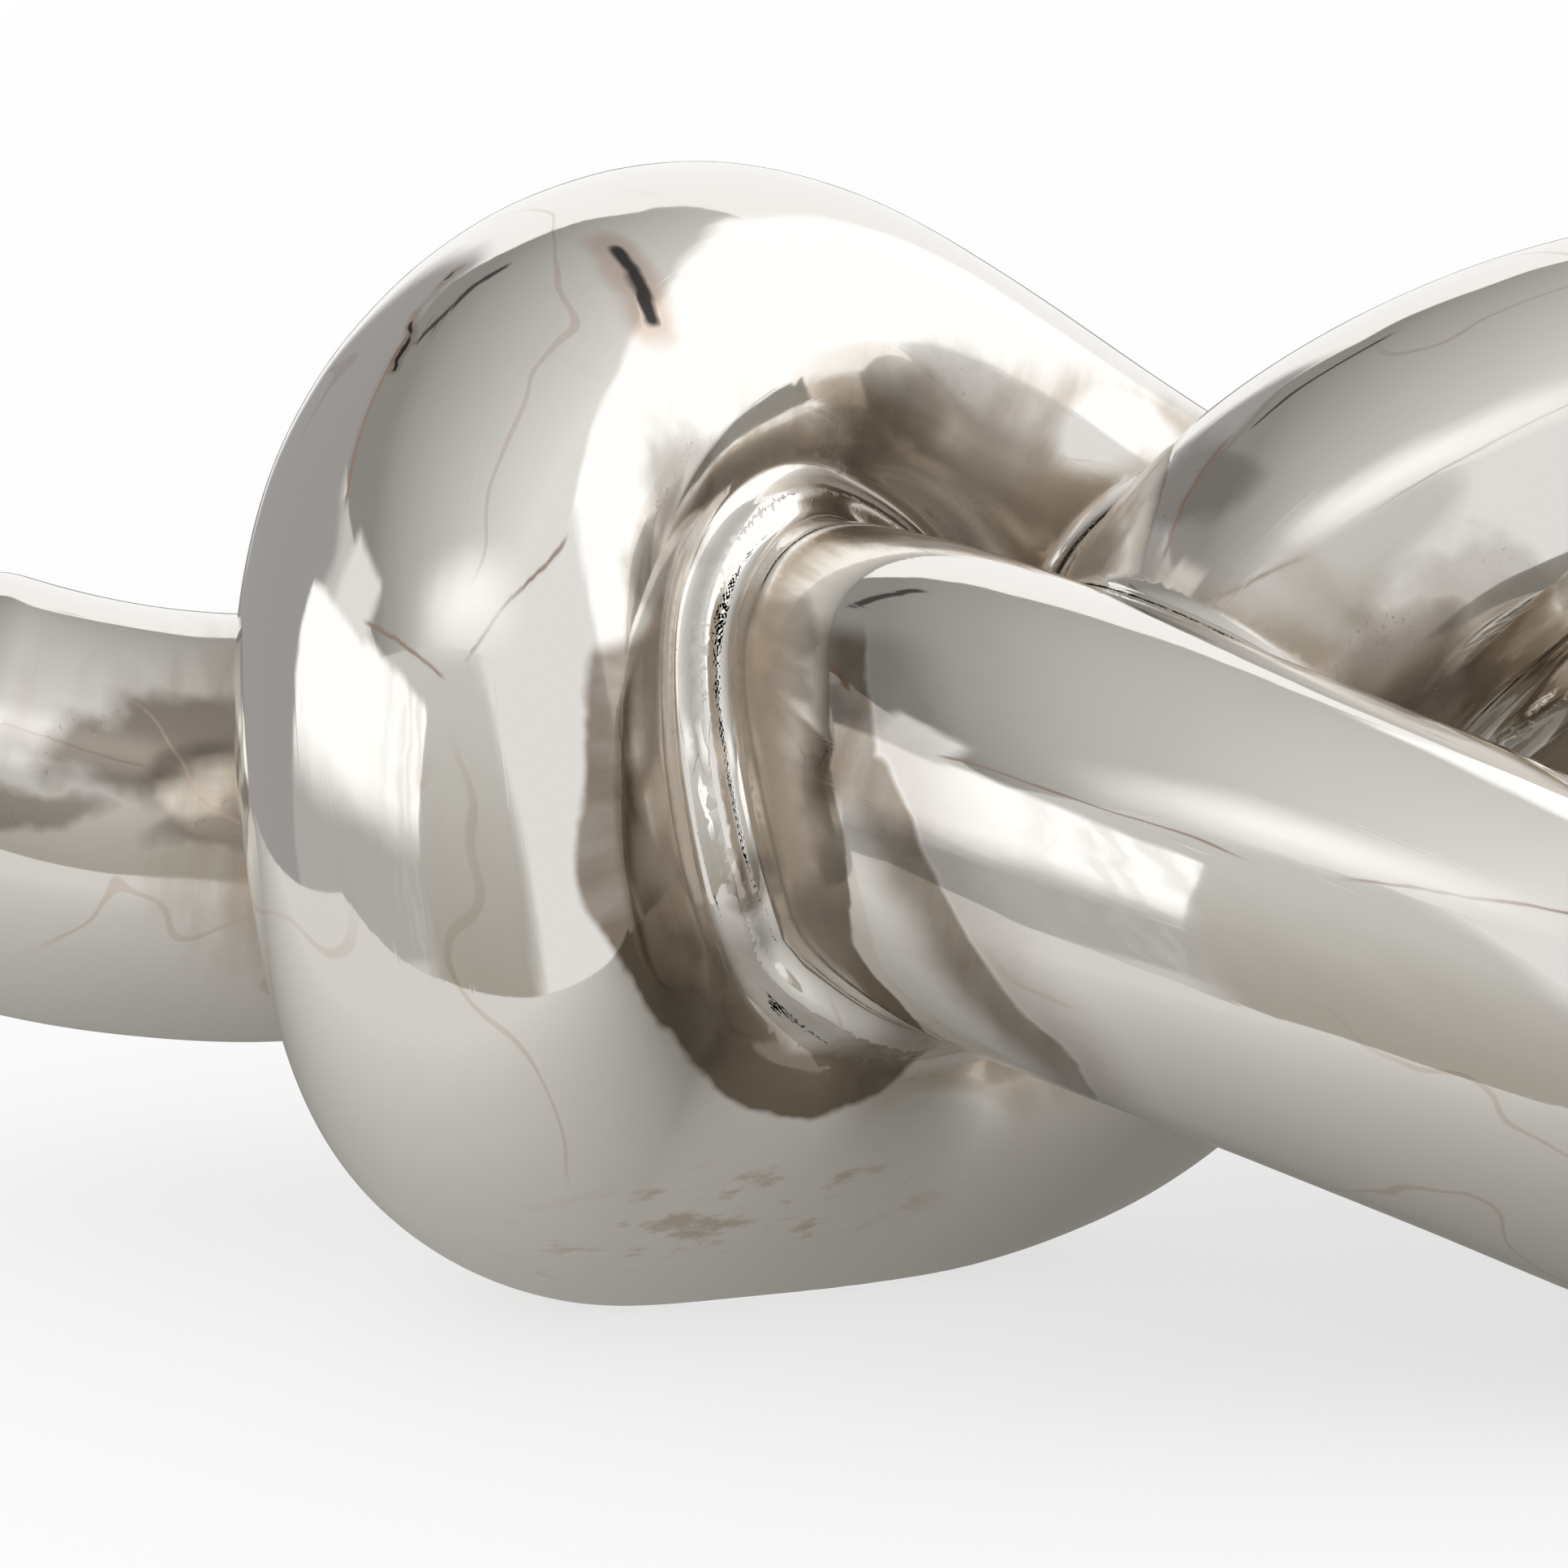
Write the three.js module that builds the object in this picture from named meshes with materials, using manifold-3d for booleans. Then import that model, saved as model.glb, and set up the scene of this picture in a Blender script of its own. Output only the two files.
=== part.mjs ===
// A plated ceramic figure-eight knot: one thick round strand, cast as hollow bends that are butted end to
// end with slip and bonded with slip where the strand touches itself. Millimetres, +Z up. The knot lies
// along X and stands on two flats ground under its loops.

import * as THREE from 'three';
import { NURBSCurve } from 'three/addons/curves/NURBSCurve.js';
import { mergeVertices } from 'three/addons/utils/BufferGeometryUtils.js';
import Module from 'manifold-3d';

// Section of the strand.
const STRAND_DIAMETER = 70;
const WALL = 11;
const TAIL_DOME = 24;

// The strand's route: guide points of a smooth curve, relative to the middle of the knot, from the left
// tail through both loops to the right tail.
const ROUTE = [
  [-217, 27, -10], // left tail, tip
  [-165, 36, -29], // left tail, where it sags
  [-103, 48, -5], // behind the left loop
  [-73, -5, 8], // through the left loop's eye
  [-43, -65, 10], // front strand, start
  [44, -82, -19], // front strand, end
  [119, -64, -60], // right loop, foot
  [141, 44, -59], // right loop, lower flank
  [132, 72, 20], // right loop, upper flank
  [99, 29, 64], // right loop, crown
  [19, 5, 41], // middle strand, start
  [-7, -4, 5], // middle strand, middle
  [-13, 10, -53], // middle strand, end
  [-119, -1, -66], // left loop, foot
  [-119, -71, -17], // left loop, lower flank
  [-135, -50, 52], // left loop, upper flank
  [-89, 46, 74], // left loop, crown
  [-39, 64, 28], // back strand, start
  [34, 67, -18], // back strand, end
  [73, 15, -16], // through the right loop's eye
  [118, -32, 18], // in front of the right loop
  [176, -38, 30], // right tail, where it rises
  [226, -36, 14], // right tail, tip
];

// Lengths of the castings along the strand, from the middle of the knot outwards. The tails take the rest.
const MIDDLE_LENGTH = 130;
const LOOP_BEND_LENGTH = 175;
const CROSSING_LENGTH = 230;

// Slip in the joints.
const SEAM_THICKNESS = 2.4;
const BEAD_WIDTH = 9;
const BEAD_HEIGHT = 2.5;
const BOND_THICKNESS = 1;
const BOND_DEPTH = 8.8;

// Feet.
const FOOT_GRIND = 7;
const VENT_DIAMETER = 6;

// Gap left between neighbouring pieces.
const CLEARANCE = 0.3;

// Fineness of the facets.
const FACETS = 16;
const RING_TURN = THREE.MathUtils.degToRad(22);
const RING_SPACING = 60;
const PROBE_SPACING = 4;
const CURVE_SAMPLES = 1500;
const WELD = 0.001;

const RADIUS = STRAND_DIAMETER / 2;
const BORE = RADIUS - WALL;
const FULL_TURN = 2 * Math.PI;

const wasm = await Module();
wasm.setup();

// Plating over the castings, and over the slip, which is a little less even.
const plate = new THREE.MeshStandardMaterial({ color: 0xcfcac2, roughness: 0.06, metalness: 1 });
const platedSlip = new THREE.MeshStandardMaterial({ color: 0xc4beb5, roughness: 0.12, metalness: 1 });

// The strand's centre line, and frames carried along it without twist, so that the facets of neighbouring
// pieces line up.
function strandCurve() {
  const degree = 3;
  const spans = ROUTE.length - degree;
  const inner = Array.from({ length: spans - 1 }, (_, i) => (i + 1) / spans);
  const knots = [...Array(degree + 1).fill(0), ...inner, ...Array(degree + 1).fill(1)];
  const curve = new NURBSCurve(degree, knots, ROUTE.map((point) => new THREE.Vector3(...point)));
  curve.arcLengthDivisions = CURVE_SAMPLES;
  return curve;
}

const strand = strandCurve();
const strandLength = strand.getLength();
const carried = strand.computeFrenetFrames(CURVE_SAMPLES, false);

function frameAt(distance) {
  const u = THREE.MathUtils.clamp(distance / strandLength, 0, 1);
  const tangent = strand.getTangentAt(u);
  const normal = carried.normals[Math.round(u * CURVE_SAMPLES)].clone();
  normal.addScaledVector(tangent, -normal.dot(tangent)).normalize();
  const binormal = new THREE.Vector3().crossVectors(tangent, normal);
  return { point: strand.getPointAt(u), tangent, normal, binormal };
}

// The castings: each is the strand from one joint to the next.
function layOutCastings() {
  const middle = strandLength / 2;
  const offsets = [MIDDLE_LENGTH / 2];
  offsets.push(offsets[0] + LOOP_BEND_LENGTH);
  offsets.push(offsets[1] + LOOP_BEND_LENGTH);
  offsets.push(offsets[2] + CROSSING_LENGTH);
  const before = offsets.map((offset) => middle - offset).reverse();
  const after = offsets.map((offset) => middle + offset);
  const joints = [0, ...before, ...after, strandLength];
  const names = [
    'left_tail',
    'front_strand',
    'right_loop_base',
    'right_loop_crown',
    'middle_strand',
    'left_loop_base',
    'left_loop_crown',
    'back_strand',
    'right_tail',
  ];
  return names.map((name, i) => ({ name, order: i, from: joints[i], to: joints[i + 1] }));
}

const castings = layOutCastings();
const byName = Object.fromEntries(castings.map((casting) => [casting.name, casting]));
const lastOrder = castings.length - 1;

// Distances along the strand at which its facets have a ring of corners, closer together in the tight bends,
// and on both sides of each joint.
function ringDistances() {
  const step = strandLength / CURVE_SAMPLES;
  const rings = [];
  let fill = 0;
  carried.tangents.slice(1).forEach((tangent, i) => {
    fill += tangent.angleTo(carried.tangents[i]) / RING_TURN + step / RING_SPACING;
    if (fill < 1) return;
    rings.push((i + 1) * step);
    fill -= 1;
  });
  const joints = castings.slice(1).map((casting) => casting.from);
  const clear = rings.filter((ring) => joints.every((joint) => Math.abs(ring - joint) > BEAD_WIDTH));
  const beadEnds = joints.flatMap((joint) => [joint - BEAD_WIDTH / 2, joint + BEAD_WIDTH / 2]);
  return [...clear, ...beadEnds].sort((a, b) => a - b);
}

const allRings = ringDistances();

// A stretch of the strand between two distances along it.
class Stretch extends THREE.Curve {
  constructor(from, to) {
    super();
    const inside = allRings.filter((ring) => ring > from + CLEARANCE && ring < to - CLEARANCE);
    this.rings = [from, ...inside, to];
    this.steps = this.rings.length - 1;
  }

  distance(t) {
    const place = t * this.steps;
    const i = Math.min(Math.floor(place), this.steps - 1);
    return THREE.MathUtils.lerp(this.rings[i], this.rings[i + 1], place - i);
  }

  getPoint(t) {
    return frameAt(this.distance(t)).point;
  }

  getPointAt(t) {
    return this.getPoint(t);
  }

  computeFrenetFrames() {
    const frames = this.rings.map(frameAt);
    return {
      tangents: frames.map((frame) => frame.tangent),
      normals: frames.map((frame) => frame.normal),
      binormals: frames.map((frame) => frame.binormal),
    };
  }
}

// Shapes and solids.
function disc(radius) {
  return new THREE.Shape().absarc(0, 0, radius, 0, FULL_TURN);
}

function ring(outer, inner) {
  const shape = disc(outer);
  shape.holes.push(new THREE.Path().absarc(0, 0, inner, 0, FULL_TURN, true));
  return shape;
}

function solid(geometry) {
  geometry.deleteAttribute('normal');
  geometry.deleteAttribute('uv');
  const merged = mergeVertices(geometry, WELD);
  const vertProperties = merged.getAttribute('position').array;
  const triVerts = new Uint32Array(merged.getIndex().array);
  return new wasm.Manifold(new wasm.Mesh({ numProp: 3, vertProperties, triVerts }));
}

function sweep(shape, from, to) {
  const extrudePath = new Stretch(from, to);
  const options = { steps: extrudePath.steps, extrudePath, curveSegments: FACETS / 2, bevelEnabled: false };
  return solid(new THREE.ExtrudeGeometry(shape, options));
}

// A rounded end of the strand, as a flattened ball on the end of the centre line.
function dome(distance, radius, depth) {
  const { point, tangent, normal, binormal } = frameAt(distance);
  const ball = new THREE.SphereGeometry(radius, FACETS, FACETS / 2);
  ball.scale(1, depth / radius, 1);
  ball.applyMatrix4(new THREE.Matrix4().makeBasis(normal, tangent, binormal.negate()).setPosition(point));
  return solid(ball);
}

// The whole body of a casting, its joints' share of the seams included, grown by some margin.
function grown(casting, margin) {
  const body = sweep(disc(RADIUS + margin), casting.from, casting.to);
  if (casting.order === 0) return body.add(dome(casting.from, RADIUS + margin, TAIL_DOME + margin));
  if (casting.order === lastOrder) return body.add(dome(casting.to, RADIUS + margin, TAIL_DOME + margin));
  return body;
}

// What a casting takes out of its neighbours: room for itself, and under the two strands that run through
// the loops, room for a bed of slip as well.
const through = [byName.front_strand, byName.back_strand];
for (const casting of castings) {
  const bedRoom = through.includes(casting) ? BOND_THICKNESS + CLEARANCE : 0;
  casting.cutter = grown(casting, CLEARANCE + bedRoom);
}

// The bottom of the knot is ground flat on a plane that takes at least the grind off both loops.
function lowestPoint(casting) {
  const count = Math.ceil((casting.to - casting.from) / PROBE_SPACING);
  const stretch = new Stretch(casting.from, casting.to);
  return stretch.getPoints(count).reduce((low, point) => (point.z < low.z ? point : low));
}

const feet = [byName.left_loop_base, byName.right_loop_base].map(lowestPoint);
const tableLevel = Math.max(...feet.map((foot) => foot.z)) - RADIUS + FOOT_GRIND;

function tableBlock() {
  const size = 2 * strandLength;
  return solid(new THREE.BoxGeometry(size, size, size).translate(0, 0, tableLevel - size / 2));
}

function ventDrill(foot) {
  const drill = new THREE.CylinderGeometry(VENT_DIAMETER / 2, VENT_DIAMETER / 2, STRAND_DIAMETER, FACETS);
  drill.rotateX(Math.PI / 2);
  return solid(drill.translate(foot.x, foot.y, foot.z - RADIUS));
}

const table = tableBlock();

// A hollow casting. The strands that run through the loops keep their round form, and the others are notched
// to sit against them.
function castingSolid(casting) {
  const halfSeam = SEAM_THICKNESS / 2;
  const from = casting.order === 0 ? casting.from : casting.from + halfSeam;
  const to = casting.order === lastOrder ? casting.to : casting.to - halfSeam;
  if (casting.order !== 0 && casting.order !== lastOrder) return sweep(ring(RADIUS, BORE), from, to);
  const tip = casting.order === 0 ? from : to;
  const outside = sweep(disc(RADIUS), from, to).add(dome(tip, RADIUS, TAIL_DOME));
  const boreFrom = casting.order === 0 ? from : from - SEAM_THICKNESS;
  const boreTo = casting.order === 0 ? to + SEAM_THICKNESS : to;
  const inside = sweep(disc(BORE), boreFrom, boreTo).add(dome(tip, BORE, TAIL_DOME - WALL));
  return outside.subtract(inside);
}

function isNeighbour(one, other) {
  return Math.abs(one.order - other.order) <= 1;
}

const cuttingOrder = [...through, ...castings.filter((casting) => !through.includes(casting))];

const pieces = [];
cuttingOrder.forEach((casting, rank) => {
  let body = castingSolid(casting).subtract(table);
  for (const earlier of cuttingOrder.slice(0, rank)) {
    if (!isNeighbour(casting, earlier)) body = body.subtract(earlier.cutter);
  }
  pieces.push({ name: casting.name, body, material: plate });
});

[byName.left_loop_base, byName.right_loop_base].forEach((casting, i) => {
  const piece = pieces.find((each) => each.name === casting.name);
  piece.body = piece.body.subtract(ventDrill(feet[i]));
});

// A seam: a washer of slip between two castings, with the bead that is squeezed out into the bore.
function seamSolid(distance) {
  const halfWeb = SEAM_THICKNESS / 2 - CLEARANCE;
  const web = sweep(ring(RADIUS, BORE - BEAD_HEIGHT / 2), distance - halfWeb, distance + halfWeb);
  const beadRing = ring(BORE - CLEARANCE, BORE - BEAD_HEIGHT);
  return web.add(sweep(beadRing, distance - BEAD_WIDTH / 2, distance + BEAD_WIDTH / 2));
}

for (const casting of castings.slice(1)) {
  const previous = castings[casting.order - 1];
  let body = seamSolid(casting.from).subtract(table);
  for (const other of castings) {
    if (other !== casting && other !== previous) body = body.subtract(other.cutter);
  }
  pieces.push({ name: `seam_${previous.name}_to_${casting.name}`, body, material: platedSlip });
}

// A bond: a bed of slip on a strand that runs through a loop, where another strand rests on it. It spreads
// over the place where the two are closest and into the crevice round it. Where they stand apart it is
// thicker.
function closestApproach(one, other) {
  const points = [one, other].map((casting) => {
    const count = Math.ceil((casting.to - casting.from) / PROBE_SPACING);
    return new Stretch(casting.from, casting.to).getPoints(count);
  });
  return Math.min(...points[0].map((a) => Math.min(...points[1].map((b) => a.distanceTo(b)))));
}

function bondSolid(strandThrough, resting) {
  const gap = closestApproach(strandThrough, resting) - STRAND_DIAMETER;
  const thickness = Math.max(BOND_THICKNESS, gap - 2 * CLEARANCE);
  const bed = grown(strandThrough, CLEARANCE + thickness).subtract(grown(strandThrough, CLEARANCE));
  let body = bed.intersect(grown(resting, BOND_DEPTH + gap)).subtract(table);
  for (const casting of castings) {
    if (casting !== strandThrough && casting !== resting) body = body.subtract(casting.cutter);
  }
  return body;
}

const bonds = [
  ['front_strand', 'left_loop_base'],
  ['front_strand', 'left_loop_crown'],
  ['front_strand', 'middle_strand'],
  ['back_strand', 'right_loop_base'],
  ['back_strand', 'right_loop_crown'],
  ['back_strand', 'middle_strand'],
];
for (const [one, other] of bonds) {
  const body = bondSolid(byName[one], byName[other]);
  pieces.push({ name: `bond_${one}_to_${other}`, body, material: platedSlip });
}

// The assembled knot, with its origin on the table under the middle of its outline. Slivers that a notch
// leaves behind drop off.
function geometryOf(body) {
  const { vertProperties, triVerts } = body.getMesh();
  const geometry = new THREE.BufferGeometry();
  geometry.setAttribute('position', new THREE.BufferAttribute(vertProperties, 3));
  geometry.setIndex(new THREE.BufferAttribute(triVerts, 1));
  return geometry;
}

function outlineOf(bodies) {
  const outline = new THREE.Box3();
  for (const body of bodies) {
    outline.union(new THREE.Box3().setFromBufferAttribute(geometryOf(body).getAttribute('position')));
  }
  return outline;
}

const middleOfOutline = outlineOf(pieces.map((piece) => piece.body)).getCenter(new THREE.Vector3());

function largestBody(body) {
  const placed = geometryOf(body).translate(-middleOfOutline.x, -middleOfOutline.y, -tableLevel);
  const bodies = solid(placed).decompose();
  return bodies.reduce((big, each) => (each.volume() > big.volume() ? each : big));
}

function meshOf({ name, body, material }) {
  const geometry = geometryOf(largestBody(body));
  geometry.computeVertexNormals();
  const mesh = new THREE.Mesh(geometry, material);
  mesh.name = name;
  return mesh;
}

const knot = new THREE.Group();
knot.name = 'ceramic_knot';
knot.add(...pieces.map(meshOf));

export default knot;
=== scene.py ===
"""Looks of a silver-plated ceramic figure-eight knot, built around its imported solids.

The castings are fused by firing and plated all over, so each one is shown as a shell whose outside runs
smoothly into its neighbours, with a bead of slip wherever two stretches of the strand touch.
"""

import itertools
import math
from dataclasses import dataclass

import bmesh
import bpy
import numpy as np
from mathutils import Matrix, Vector
from mathutils.kdtree import KDTree


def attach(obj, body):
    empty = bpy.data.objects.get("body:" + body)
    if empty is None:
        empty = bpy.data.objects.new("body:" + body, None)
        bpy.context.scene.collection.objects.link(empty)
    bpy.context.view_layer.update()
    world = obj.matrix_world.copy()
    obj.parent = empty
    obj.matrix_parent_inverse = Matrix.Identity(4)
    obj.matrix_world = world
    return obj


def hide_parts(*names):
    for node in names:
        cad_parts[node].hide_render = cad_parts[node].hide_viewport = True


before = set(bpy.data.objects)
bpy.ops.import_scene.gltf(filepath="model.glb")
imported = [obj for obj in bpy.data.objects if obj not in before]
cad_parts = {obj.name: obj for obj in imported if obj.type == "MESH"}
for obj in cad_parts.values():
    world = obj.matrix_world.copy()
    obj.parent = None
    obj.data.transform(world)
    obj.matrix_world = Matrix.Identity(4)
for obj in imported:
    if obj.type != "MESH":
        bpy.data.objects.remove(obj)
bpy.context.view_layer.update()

MM = 0.001

# The strand, on the solids' route. At the lower bend of the left loop and the front strand beside it, where
# the clay was pressed together, the guide points lie a little differently than the solids'.
STRAND_RADIUS = 35 * MM
TAIL_DOME = 24 * MM
ROUTE_MM = [
    (-217, 27, -10), (-165, 36, -29), (-103, 48, -5),
    (-73, -5, 8), (-42, -62.6, 9.4), (44, -82, -19),
    (119, -64, -60), (141, 44, -59), (132, 72, 20),
    (99, 29, 64), (19, 5, 41), (-7, -4, 5),
    (-12.1, 2.7, -46), (-111, -1.5, -57), (-118.3, -68.8, -20.9),
    (-135, -50, 52), (-89, 46, 74), (-39, 64, 28),
    (34, 67, -18), (73, 15, -16), (118, -32, 18),
    (176, -38, 30), (226, -36, 14),
]
ROUTE_MIDDLE_MM = (-4.30, 5.91, 85.26)
CASTINGS = [
    "left_tail", "front_strand", "right_loop_base", "right_loop_crown", "middle_strand",
    "left_loop_base", "left_loop_crown", "back_strand", "right_tail",
]
MIDDLE_LENGTH = 130 * MM
LOOP_BEND_LENGTH = 175 * MM
CROSSING_LENGTH = 230 * MM

# Where the strand was left thicker or thinner by hand: place on it from 0 to 1, half length, extra radius.
SWELLS = [
    (0.02, 0.085, 2.2 * MM), (0.135, 0.035, 1.5 * MM), (0.19, 0.075, 2.0 * MM),
    (0.57, 0.025, 3.2 * MM), (0.605, 0.025, 4.4 * MM), (0.64, 0.025, 2.7 * MM),
    (0.75, 0.05, -1.3 * MM), (0.81, 0.04, 1.5 * MM), (0.98, 0.085, 1.2 * MM),
]

# The plated surface. A slip bead fills the gap between two touching passes of the strand up to a width.
FILLET = 3.2 * MM
BEAD_WIDTH = 7 * MM
BEAD_RISE = 1.1 * MM
BEAD_LEAST_SLOPE = 0.2
CREASE_ZONE = 11 * MM
# Passes that are nearer than this to each other along the strand, as a share of it, are one bend.
SAME_BEND = 0.09
# Clay that rounds out the inside of the left loop's tight lower bend: a ball, by its place along the strand,
# its shift into the bend, how much smaller than the strand it is, and how far along the strand it blends in.
PAD_PLACE = 0.601
PAD_SHIFT = 23 * MM
PAD_INSET = 7 * MM
PAD_FILLET = 11 * MM
PAD_REACH = 0.1
# The feet's round edge, the shells' walls, and the grid of the first mesh.
FOOT_EDGE = 1.5 * MM
SHELL = 6 * MM
SHELL_DEEPEST = 0.9
VOXEL = 1.9 * MM
# The hand-made unevenness: a few waves, each shorter and lower than the one before.
WAVE_HEIGHT = 0.04 * MM
WAVE_LENGTH = 46 * MM
WAVE_SHORTER = 0.21
WAVE_LOWER = 0.3
WAVE_PHASE = 1.7
WAVE_TURNS = [
    (1.0, 0.31, -0.47), (-0.52, 1.0, 0.38), (0.27, -0.64, 1.0), (0.83, 0.77, 0.59), (-0.9, 0.5, -0.8),
]
# How crevices are found: how far ahead of the surface is looked, and the share of one that a bead rises from.
CREVICE_REACHES = (12 * MM, 28 * MM, 50 * MM)
BEAD_OPEN = 0.85
# How points are moved onto the surface.
STRANDS_NEAR = 3
SETTLE_STEPS = 3
LONGEST_STEP = 0.004
STEADY_SHARE = 0.15
LONGEST_MOVE = 4 * MM
LEAST_STEEP = 0.1
CHUNK = 4000
FAR = 1.0
TINY = 1e-9
# How edges are cut along joints and creases: the longest step over a joint, and the least share of an edge.
JOINT_STEP = 4 * VOXEL
LEAST_CUT = 0.15

# The photograph's view.
IMAGE_PIXELS = 1932
FOCAL_PIXELS = 7637
CAMERA_AZIMUTH = math.radians(0.82)
CAMERA_ELEVATION = math.radians(13.98)
CAMERA_DISTANCE = 1036.7 * MM
CAMERA_AIM_RIGHT = -74.9 * MM
CAMERA_AIM_UP = -2.8 * MM
SENSOR_WIDTH = 36


class Strand:
    """The strand's centre line: a clamped cubic B-spline, kept as one cubic for each of its spans."""

    DEGREE = 3
    SAMPLES = 700
    IN_EACH_SPAN = np.array([0.1, 0.35, 0.65, 0.9])

    def __init__(self, guides):
        self.spans = len(guides) - self.DEGREE
        ends = np.zeros(self.DEGREE)
        self.knots = np.concatenate([ends, np.linspace(0, 1, self.spans + 1), ends + 1])
        inside = self.IN_EACH_SPAN
        places = ((np.arange(self.spans)[:, None] + inside) / self.spans).ravel()
        values = (self.weights(places) @ guides).reshape(self.spans, len(inside), 3)
        self.cubics = np.linalg.solve(np.vander(inside, increasing=True), values)
        self.grid = np.linspace(0, 1, self.SAMPLES + 1)
        self.points = self.at(self.grid)
        steps = np.linalg.norm(np.diff(self.points, axis=0), axis=1)
        self.lengths = np.concatenate([[0], np.cumsum(steps)])
        self.length = self.lengths[-1]
        self.sides = self.untwisted_sides()

    def untwisted_sides(self):
        """Two directions across the strand at each sample, carried along it without a twist."""
        slopes = self.motion(self.grid)[1]
        along = slopes / np.linalg.norm(slopes, axis=1)[:, None]
        side = np.cross(along[0], (0.0, 0.0, 1.0))
        pairs = []
        for way in along:
            side = side - way * (side @ way)
            side /= np.linalg.norm(side)
            pairs.append((side, np.cross(way, side)))
        return np.array(pairs)

    def pulled_straight(self, points, places):
        """Where points on the strand would lie if it were pulled straight along Z."""
        apart = points - self.at(places)
        pairs = self.sides[np.rint(places * self.SAMPLES).astype(int)]
        across = (pairs * apart[:, None]).sum(2)
        return np.column_stack([across, self.distance_along(places)])

    def weights(self, places):
        """Share of each guide point in the centre line at some places."""
        knots = self.knots
        table = ((knots[:-1] <= places[:, None]) & (places[:, None] < knots[1:])).astype(float)
        for order in range(1, self.DEGREE + 1):
            low = knots[:-order - 1]
            high = knots[order + 1:]
            rise = knots[order:-1] - low
            fall = high - knots[1:-order]
            up = (places[:, None] - low) / np.where(rise > 0, rise, 1) * (rise > 0)
            down = (high - places[:, None]) / np.where(fall > 0, fall, 1) * (fall > 0)
            table = up * table[:, :-1] + down * table[:, 1:]
        return table

    def motion(self, places):
        """Point, slope and bend of the centre line at some places, per unit of place."""
        span = np.clip((places * self.spans).astype(int), 0, self.spans - 1)
        u = (places * self.spans - span)[:, None]
        c0, c1, c2, c3 = np.moveaxis(self.cubics[span], 1, 0)
        point = c0 + u * (c1 + u * (c2 + u * c3))
        slope = (c1 + u * (2 * c2 + u * 3 * c3)) * self.spans
        bend = (2 * c2 + u * 6 * c3) * self.spans ** 2
        return point, slope, bend

    def at(self, places):
        return self.motion(places)[0]

    def distance_along(self, places):
        return np.interp(places, self.grid, self.lengths)

    def settle(self, points, places):
        """Moves each place along the strand to where the strand passes closest to its point."""
        for _ in range(SETTLE_STEPS):
            point, slope, bend = self.motion(places)
            apart = point - points
            pull = (apart * slope).sum(1)
            stiffness = (slope * slope).sum(1) + (apart * bend).sum(1)
            steady = stiffness > STEADY_SHARE * (slope * slope).sum(1)
            step = np.clip(pull / np.where(steady, stiffness, np.inf), -LONGEST_STEP, LONGEST_STEP)
            places = np.clip(places - step, 0, 1)
        return places


def passes_near(strand, points):
    """The places where the strand passes closest to each point: the nearest pass and the next ones."""
    samples = strand.points
    found = np.full((len(points), STRANDS_NEAR), np.nan)
    for start in range(0, len(points), CHUNK):
        some = points[start:start + CHUNK]
        rows = np.arange(len(some))
        apart = (some ** 2).sum(1)[:, None] + (samples ** 2).sum(1) - 2 * some @ samples.T
        padded = np.pad(apart, ((0, 0), (1, 1)), constant_values=FAR)
        lowest = (apart <= padded[:, :-2]) & (apart < padded[:, 2:])
        apart = np.where(lowest, apart, FAR)
        for k in range(STRANDS_NEAR):
            best = apart.argmin(1)
            found[start:start + CHUNK, k] = np.where(apart[rows, best] < FAR, strand.grid[best], np.nan)
            apart[rows, best] = FAR
    return found


def swell_at(places):
    """The strand's extra radius at some places, and how fast it grows per unit of place."""
    extra = np.zeros(len(places))
    growth = np.zeros(len(places))
    for centre, reach, most in SWELLS:
        away = (places - centre) / reach
        bump = most * np.exp(-away ** 2)
        extra += bump
        growth -= 2 * away / reach * bump
    return extra, growth


def heights_above(strand, points, places):
    """How far each point lies outside the strand at a place, and the way straight out of it."""
    centre, along, _ = strand.motion(places)
    extra, growth = swell_at(places)
    out = points - centre
    ends = (places <= 0) | (places >= 1)
    speed = np.linalg.norm(along, axis=1)
    along = along / speed[:, None]
    beyond = (out * along).sum(1) * ends
    flatten = STRAND_RADIUS / TAIL_DOME
    seen = out + along * (beyond * (flatten - 1))[:, None]
    distance = np.linalg.norm(seen, axis=1)
    way = (out + along * (beyond * (flatten ** 2 - 1))[:, None]) / distance[:, None]
    way -= along * (growth / speed * ~ends)[:, None]
    return distance - STRAND_RADIUS - extra, way


def waves(points):
    """The hand-made unevenness of the surface, and its slope."""
    height = np.zeros(len(points))
    slope = np.zeros_like(points)
    for i, turn in enumerate(WAVE_TURNS):
        wave = np.array(turn) * (2 * np.pi / WAVE_LENGTH) * (1 + WAVE_SHORTER * i)
        crest = WAVE_HEIGHT / (1 + WAVE_LOWER * i)
        phase = points @ wave + WAVE_PHASE * i
        height += crest * np.sin(phase)
        slope += (crest * np.cos(phase))[:, None] * wave
    return height, slope


def slip_bead(depths, ways):
    """Height over the slip that fills the gap between two passes up to a width and swells out of it."""
    rows = np.arange(len(depths))
    first, second = np.argsort(depths, axis=1)[:, :2].T
    near, next_near = depths[rows, first], depths[rows, second]
    way, next_way = ways[rows, first], ways[rows, second]
    lean = (near - next_near) / BEAD_WIDTH
    depth = (near + next_near - BEAD_WIDTH) / 2 - BEAD_RISE * (1 - lean ** 2)
    out = (way + next_way) / 2 + (2 * BEAD_RISE / BEAD_WIDTH * lean)[:, None] * (way - next_way)
    steep = np.maximum(np.linalg.norm(out, axis=1), BEAD_LEAST_SLOPE)
    return depth / steep, out / steep[:, None]


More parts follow.
